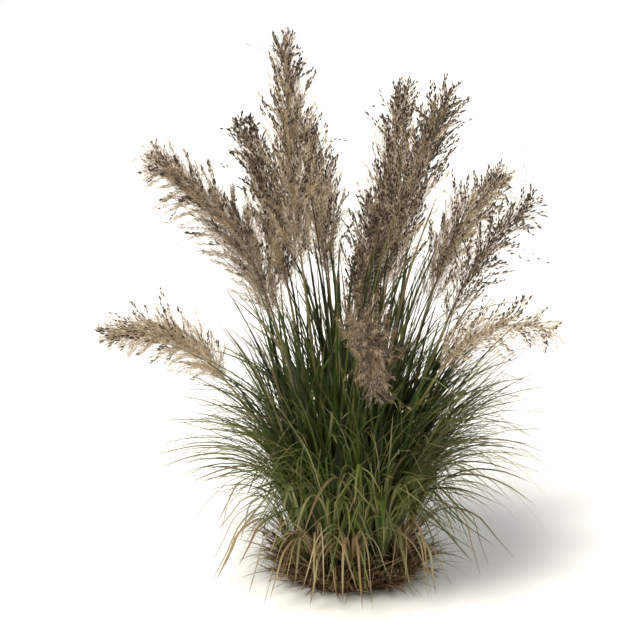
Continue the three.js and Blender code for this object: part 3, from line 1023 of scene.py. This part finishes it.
def upperLeaf(number, axis, j):
    # narrow leaves that leave the stem at its joints
    root, along, _ = pointOn(axis, stemLook["nodes"][j % len(stemLook["nodes"])] + 0.02)
    lean = tiltOf(along) + 3 + 6 * draw(13, number, j)
    return clearLine(firstStem + number, (14, number, j), lambda t, by: dict(
        root=root, heading=by(0, flowers[number]["heading"], 170), lean=lean,
        bend=lean + stemLook["upperBend"] * draw(14, number, j, t, 1) ** 1.5, start=0.25,
        length=by(2, stemLook["upperLength"] - 6 * t, 130), steps=8), firstPlume)


def buildStem(number, axis):
    rng = np.random.default_rng(300 + number)
    skin = Skin()
    s = np.linspace(0, 1, stemLook["rings"])
    radius = mix(*stemForm["radius"], s)
    reach, loose = stemLook["sheath"]
    for node in stemLook["nodes"]:
        # a swollen joint with a sheath that loosens above it
        gap = s - node
        radius = radius + stemLook["swelling"] * np.exp(-((gap / 0.012) ** 2))
        radius = radius + loose * np.where((gap > 0) & (gap < reach), gap / reach, 0)
    skin.tube(smooth(axis, stemLook["rings"]), radius, toneRound(0, stemLook["sides"]), (0.03, 0.95))
    if stemLeaves[number]:
        leaf(skin, stemLeaves[number], stemLook["leafWidth"], 2 + rng.integers(0, 4), **stemLook["leafBlade"])
    for j in range(stemLook["upperLeaves"]):
        line = upperLeaf(number, axis, j)
        width, tone = rng.uniform(*stemLook["upperWidth"]), rng.integers(1, 7)
        if line and insideBox(line[0]):
            leaf(skin, line, width, tone, rng.normal(0, 0.5), **stemLook["upperBlade"])
    return skin.piece("reed_stem", [stemSheath, greenLeaf], "flower_stem", "flower_stem", number)


# plumes

plumeLook = {
    "rings": 36,
    "fillers": 84,
    "fillerSizes": (0.95, 0.75, 0.55, 0.4),  # tried in turn until one finds room
    "climbers": 46,  # long slim branches that keep close to the plume's own line
    "climberSpread": (12, 23),  # from that line, in degrees
    "climberLength": (1.35, 0.6),  # times the flower's branches, at the plume's foot and at its tip
    "strays": 10,  # thin branches that stand out from the rest
    "wisps": 6,  # long, nearly bare ones that arch away
    "wispLength": (90, 200),
    "branchTurn": 2.39996,  # from one branch to the next, in radians
    "golden": 0.45,  # share of the branches that are silky all along
    "toneShift": (0.13, -0.09),  # of a golden branch and of the others
    "darkShare": (0.2, 1.5),
    "darkRise": (0.95, 0.6, 0.3),  # with the height in the plume, along the branch and where it stands up
    "branchRadius": (0.6, 0.2),
    "bareRadius": 1.6,  # times the others'
    "sway": 9,  # how far a branch's tip strays
    "twigGap": 7.0,
    "twig": (22, 8),  # at the branch's foot and at its tip
    "twigRadius": 0.3,
    "opening": 34,  # from the branch, in degrees
    "cluster": 6,  # florets that are dark together
    "hairs": (7, 4),  # at the plume's foot and at its tip
    "hair": (11, 22),
    "hairWidth": 0.95,
    "hairSpread": 0.46,
    "floret": (9, 14),
    "floretScale": (0.85, 1.3),  # of a silky one and of a dark one
    "floretRadius": (0.9, 2.7),
    "stemSpan": (0.02, 0.09),  # each strand's place along the map
    "twigSpan": (0.02, 0.1),
    "floretSpan": (0.14, 0.48),
    "hairSpan": (0.54, 0.98),
}


def dressBranch(skin, path, place, flower, rng, full, bare=False):
    # a branch along its root, knee and tip, with twigs, a floret on each and silky hairs
    look = plumeLook
    path = path + rng.normal(0, 1, (3, 3)) * np.array([[0], [0.45], [1]]) * look["sway"]
    side = unit(np.cross(path[1] - path[0], up) + 1e-6)
    at, along, side = smooth((path, path, np.repeat(side[None], 3, 0)), 9)
    golden = bare or rng.random() < look["golden"]
    shift = look["toneShift"][0 if golden else 1]
    tone = min(max(flower["tone"] + shift + rng.normal(0, 0.06), 0.05), 0.95)
    skin.tube((at, along, side), np.linspace(*look["branchRadius"], 8) * (look["bareRadius"] if bare else 1),
              np.linspace(tone - toneWidth, tone + toneWidth, 4), look["stemSpan"], at[-1], 0.1)
    length = np.linalg.norm(np.diff(path, axis=0), axis=1).sum()
    count = max(6, int(length / look["twigGap"] * full))
    t = np.clip((np.arange(count) + rng.random(count)) / count * 0.94 + 0.08, 0, 1)
    i = np.minimum((t * 8).astype(int), 7)
    f = (t * 8 - i)[:, None]
    base = at[i] * (1 - f) + at[i + 1] * f
    way = unit(along[i] * (1 - f) + along[i + 1] * f)
    radial = turned(side[i], way, (np.arange(count) * 2.4 + rng.normal(0, 0.4, count))[:, None])
    # dark florets come in clusters, more of them towards the plume's top and the branches' ends, silk between
    high, far, upright = look["darkRise"]
    upward = np.clip(high * place + far * t + upright * way[:, 2] - 0.3, 0.03, 1.2)
    cluster = rng.random(count // look["cluster"] + 1)[np.arange(count) // look["cluster"]]
    dark = cluster < flower["dark"] * upward * look["darkShare"][0 if golden else 1]
    opening = radians(look["opening"]) * (1 - 0.5 * t) * (0.8 + 0.4 * rng.random(count))
    opening = opening * np.where(dark, 0.6, 1)
    twigWay = unit(way * np.cos(opening)[:, None] + radial * np.sin(opening)[:, None])
    twig = mix(*look["twig"], t) * (0.6 + 0.8 * rng.random(count))
    tones = np.clip(tone + rng.normal(0, 0.09, count), 0.03, 0.97)
    skin.strands(base, twigWay, twig, look["twigRadius"], tones, *look["twigSpan"], 0)
    end = base + twigWay * twig[:, None]
    floretTone = np.where(dark, 0.08, 0.72) + rng.normal(0, 0.11, count)
    floretTone = np.clip(mix(floretTone, tone, 0.25), 0.03, 0.97)
    floretWay = unit(way + radial * 0.15 + up * 0.2 + rng.normal(0, 0.12, (count, 3)))
    silky, heavy = look["floretScale"]
    floret = rng.uniform(*look["floret"], count) * np.where(dark, heavy, silky)
    thin, thick = look["floretRadius"]
    radius = np.where(dark, thick, thin) * (0.8 + 0.4 * rng.random(count))
    skin.strands(end, floretWay, floret, radius, floretTone, *look["floretSpan"], 1, 0.4)
    sag = mix(0.08, 0.8, flower["droop"])
    hairs = round(mix(*look["hairs"], place))
    base, twigWay, way, twig = (np.repeat(rows, hairs, 0) for rows in (base, twigWay, way, twig))
    count *= hairs
    hairWay = unit(twigWay * 0.9 + way * 0.5 - up * sag * (0.4 + 0.6 * rng.random((count, 1)))
                   + rng.normal(0, look["hairSpread"], (count, 3)))
    hair = rng.uniform(*look["hair"], count) * mix(1.15, 0.75, place)
    tones = np.clip(tone + 0.12 + rng.normal(0, 0.2, count), 0.03, 0.97)
    start = base + twigWay * (twig * rng.random(count))[:, None]
    skin.silk(start, hairWay, hair, look["hairWidth"], tones, *look["hairSpan"], 2)


def leaving(axis, place, turn):
    # where a branch leaves the plume's line, the way of the line there and the way out
    root, way, across = pointOn(axis, place)
    return root, way, turned(across, way, turn)


def climber(axis, place, turn, flower, rng):
    root, way, out = leaving(axis, place, turn)
    spread = radians(rng.uniform(*plumeLook["climberSpread"])) * (1 - 0.5 * place)
    length = flower["branch"] * mix(*plumeLook["climberLength"], place) * rng.uniform(0.75, 1.1)
    length = min(length, (1 - place) * flower["plume"])
    later = pointOn(axis, min(place + 0.8 * length / flower["plume"], 1))[1]
    knee = root + (way * cos(spread) + out * sin(spread)) * (length / 2)
    return np.array([root, knee, knee + unit(later * cos(spread) + out * sin(spread)) * (length / 2)])


def wisp(axis, place, turn, rng):
    root, way, out = leaving(axis, place, turn)
    length = rng.uniform(*plumeLook["wispLength"])
    knee = root + unit(way + out * 0.8) * (length * 0.45)
    return np.array([root, knee, knee + unit(out + way * 0.5 - up * 0.9 * rng.random()) * (length * 0.55)])


def buildPlume(number, line):
    flower, owner, look = flowers[number], firstPlume + number, plumeLook
    full, tone, turn = flower["full"], flower["tone"], look["branchTurn"]
    rng = np.random.default_rng(400 + number)
    skin = Skin()
    axis = smooth(line, look["rings"])
    at = axis[0]
    radius = mix(plumeForm["stemTop"], 0.9, np.linspace(0, 1, look["rings"]))[:-1]
    skin.tube(axis, radius, np.linspace(tone - 0.03, tone + 0.03, 8), look["stemSpan"], at[-1], 0.1)

    def dress(path, place, full, bare=False):
        dressBranch(skin, path, place, flower, rng, full, bare)

    def fits(path):
        return room.isClear(path, owner) and insideBox(path)

    for path, share in branches[number]:
        stem = path.copy()
        stem[0] = at[np.linalg.norm(at - path[0], axis=1).argmin()]
        dress(stem, share, full)
    for k in range(int(look["fillers"] * full)):
        place = 0.02 + 0.96 * (k + rng.random()) / (look["fillers"] * full)
        root, way, out = leaving(axis, place, k * turn + rng.normal(0, 0.3))
        for size in look["fillerSizes"]:
            size *= rng.uniform(0.75, 1)
            path = plumeBranch(root, out, way, flower, (5, number, k), place, size)
            if fits(path):
                dress(path, place, full)
                break
    for k in range(int(look["climbers"] * full)):
        path = climber(axis, 0.03 + 0.82 * rng.random(), k * turn + rng.normal(0, 0.3), flower, rng)
        if fits(path):
            dress(path, 0.55 + 0.4 * rng.random(), full)
    for k in range(look["strays"]):
        place = 0.15 + 0.8 * rng.random()
        root, way, out = leaving(axis, place, rng.random() * 2 * pi)
        path = plumeBranch(root, out, way, flower, (6, number, k), place, 1.2)
        end = path[2] - path[1]
        path[2] = path[1] + unit(end + out * 25 - up * 40 * rng.random()) * np.linalg.norm(end)
        if fits(path):
            dress(path, place, 0.45)
    for k in range(look["wisps"]):
        path = wisp(axis, 0.25 + 0.7 * rng.random(), k * turn + rng.normal(0, 0.5), rng)
        if fits(path):
            dress(path, 0.6, 0.3, bare=True)
    return skin.piece("feather_plume", [plumeTwig, plumeFloret, plumeSilk], "plume", "plume", number)


buildCrown()
print("crown and stubble:", buildStubble(), "triangles")
for kind, build, lines in (("stems", buildStem, stems), ("shoots", buildShoot, shoots),
                           ("dry tufts", buildTuft, tufts), ("plumes", buildPlume, plumes)):
    counts = [build(i, line) for i, line in enumerate(lines)]
    print(f"{kind}: {sum(counts)} triangles, the largest {max(counts)}")


# studio

studio = {
    "elevation": 14,
    "distance": 4.45,
    "lens": 85,
    "aim": (-0.092, -0.01, 0.785),
    "floor": 24,  # half of its side, in metres
    "floorGap": 0.0005,
    "lights": (  # where it comes from, strength, softness in degrees and tint
        ((-2.0, -2.1, 5.2), 3.8, 26, (1.0, 0.97, 0.92)),
        ((2.6, 2.6, 2.4), 0.7, 50, (0.97, 0.98, 1.0)),
    ),
    "sky": (1.0, 0.38),  # at the horizon and overhead
}


def aimAt(thing, place, target):
    thing.location = place
    away = np.array(place) - np.array(target)
    flat = np.hypot(away[0], away[1])
    thing.rotation_euler = (np.arctan2(flat, away[2]), 0, np.arctan2(away[0], -away[1]))


def buildStudio():
    scene = bpy.context.scene
    tilt = radians(studio["elevation"])
    target = np.array(studio["aim"])
    eye = target + studio["distance"] * np.array([0, -cos(tilt), sin(tilt)])
    camera = added("camera", bpy.data.cameras.new("camera"))
    camera.data.lens = studio["lens"]
    aimAt(camera, eye, target)
    scene.camera = camera
    for number, (place, strength, softness, tint) in enumerate(studio["lights"]):
        lamp = bpy.data.lights.new(f"softLight{number + 1}", "SUN")
        lamp.energy, lamp.angle, lamp.color = strength, radians(softness), tint
        aimAt(added(lamp.name, lamp), place, (0, 0, 0))
    scene.world = bpy.data.worlds.new("paleRoom")
    sky = Finish(scene.world)
    height = sky.split(sky.node("TexCoord"))[2]
    glow = sky.ease(height, 0.14, 0.45) * (studio["sky"][1] - studio["sky"][0]) + studio["sky"][0]
    light = sky.node("Background", inputs={"Color": (1, 1, 1, 1), "Strength": glow})
    sky.node("OutputWorld", inputs={"Surface": light})
    scene.view_settings.view_transform = "Standard"
    finish = Finish("paleFloor")
    grain = finish.noise(finish.node("TexCoord", output=3), 3, 3)
    shade = finish.blend(grain * 0.3, colour("f4f3f0"), "eae8e4")
    size = studio["floor"]
    mesh = bpy.data.meshes.new("floor")
    corner = [(-size, -size, 0), (size, -size, 0), (size, size, 0), (-size, size, 0)]
    mesh.from_pydata(corner, [], [(0, 1, 2, 3)])
    mesh.materials.append(finish.done(shade, 0.85))
    floor = added("floor", mesh)
    floor.location.z = -studio["floorGap"]


buildStudio()
print("studio: camera, lights and floor are set")
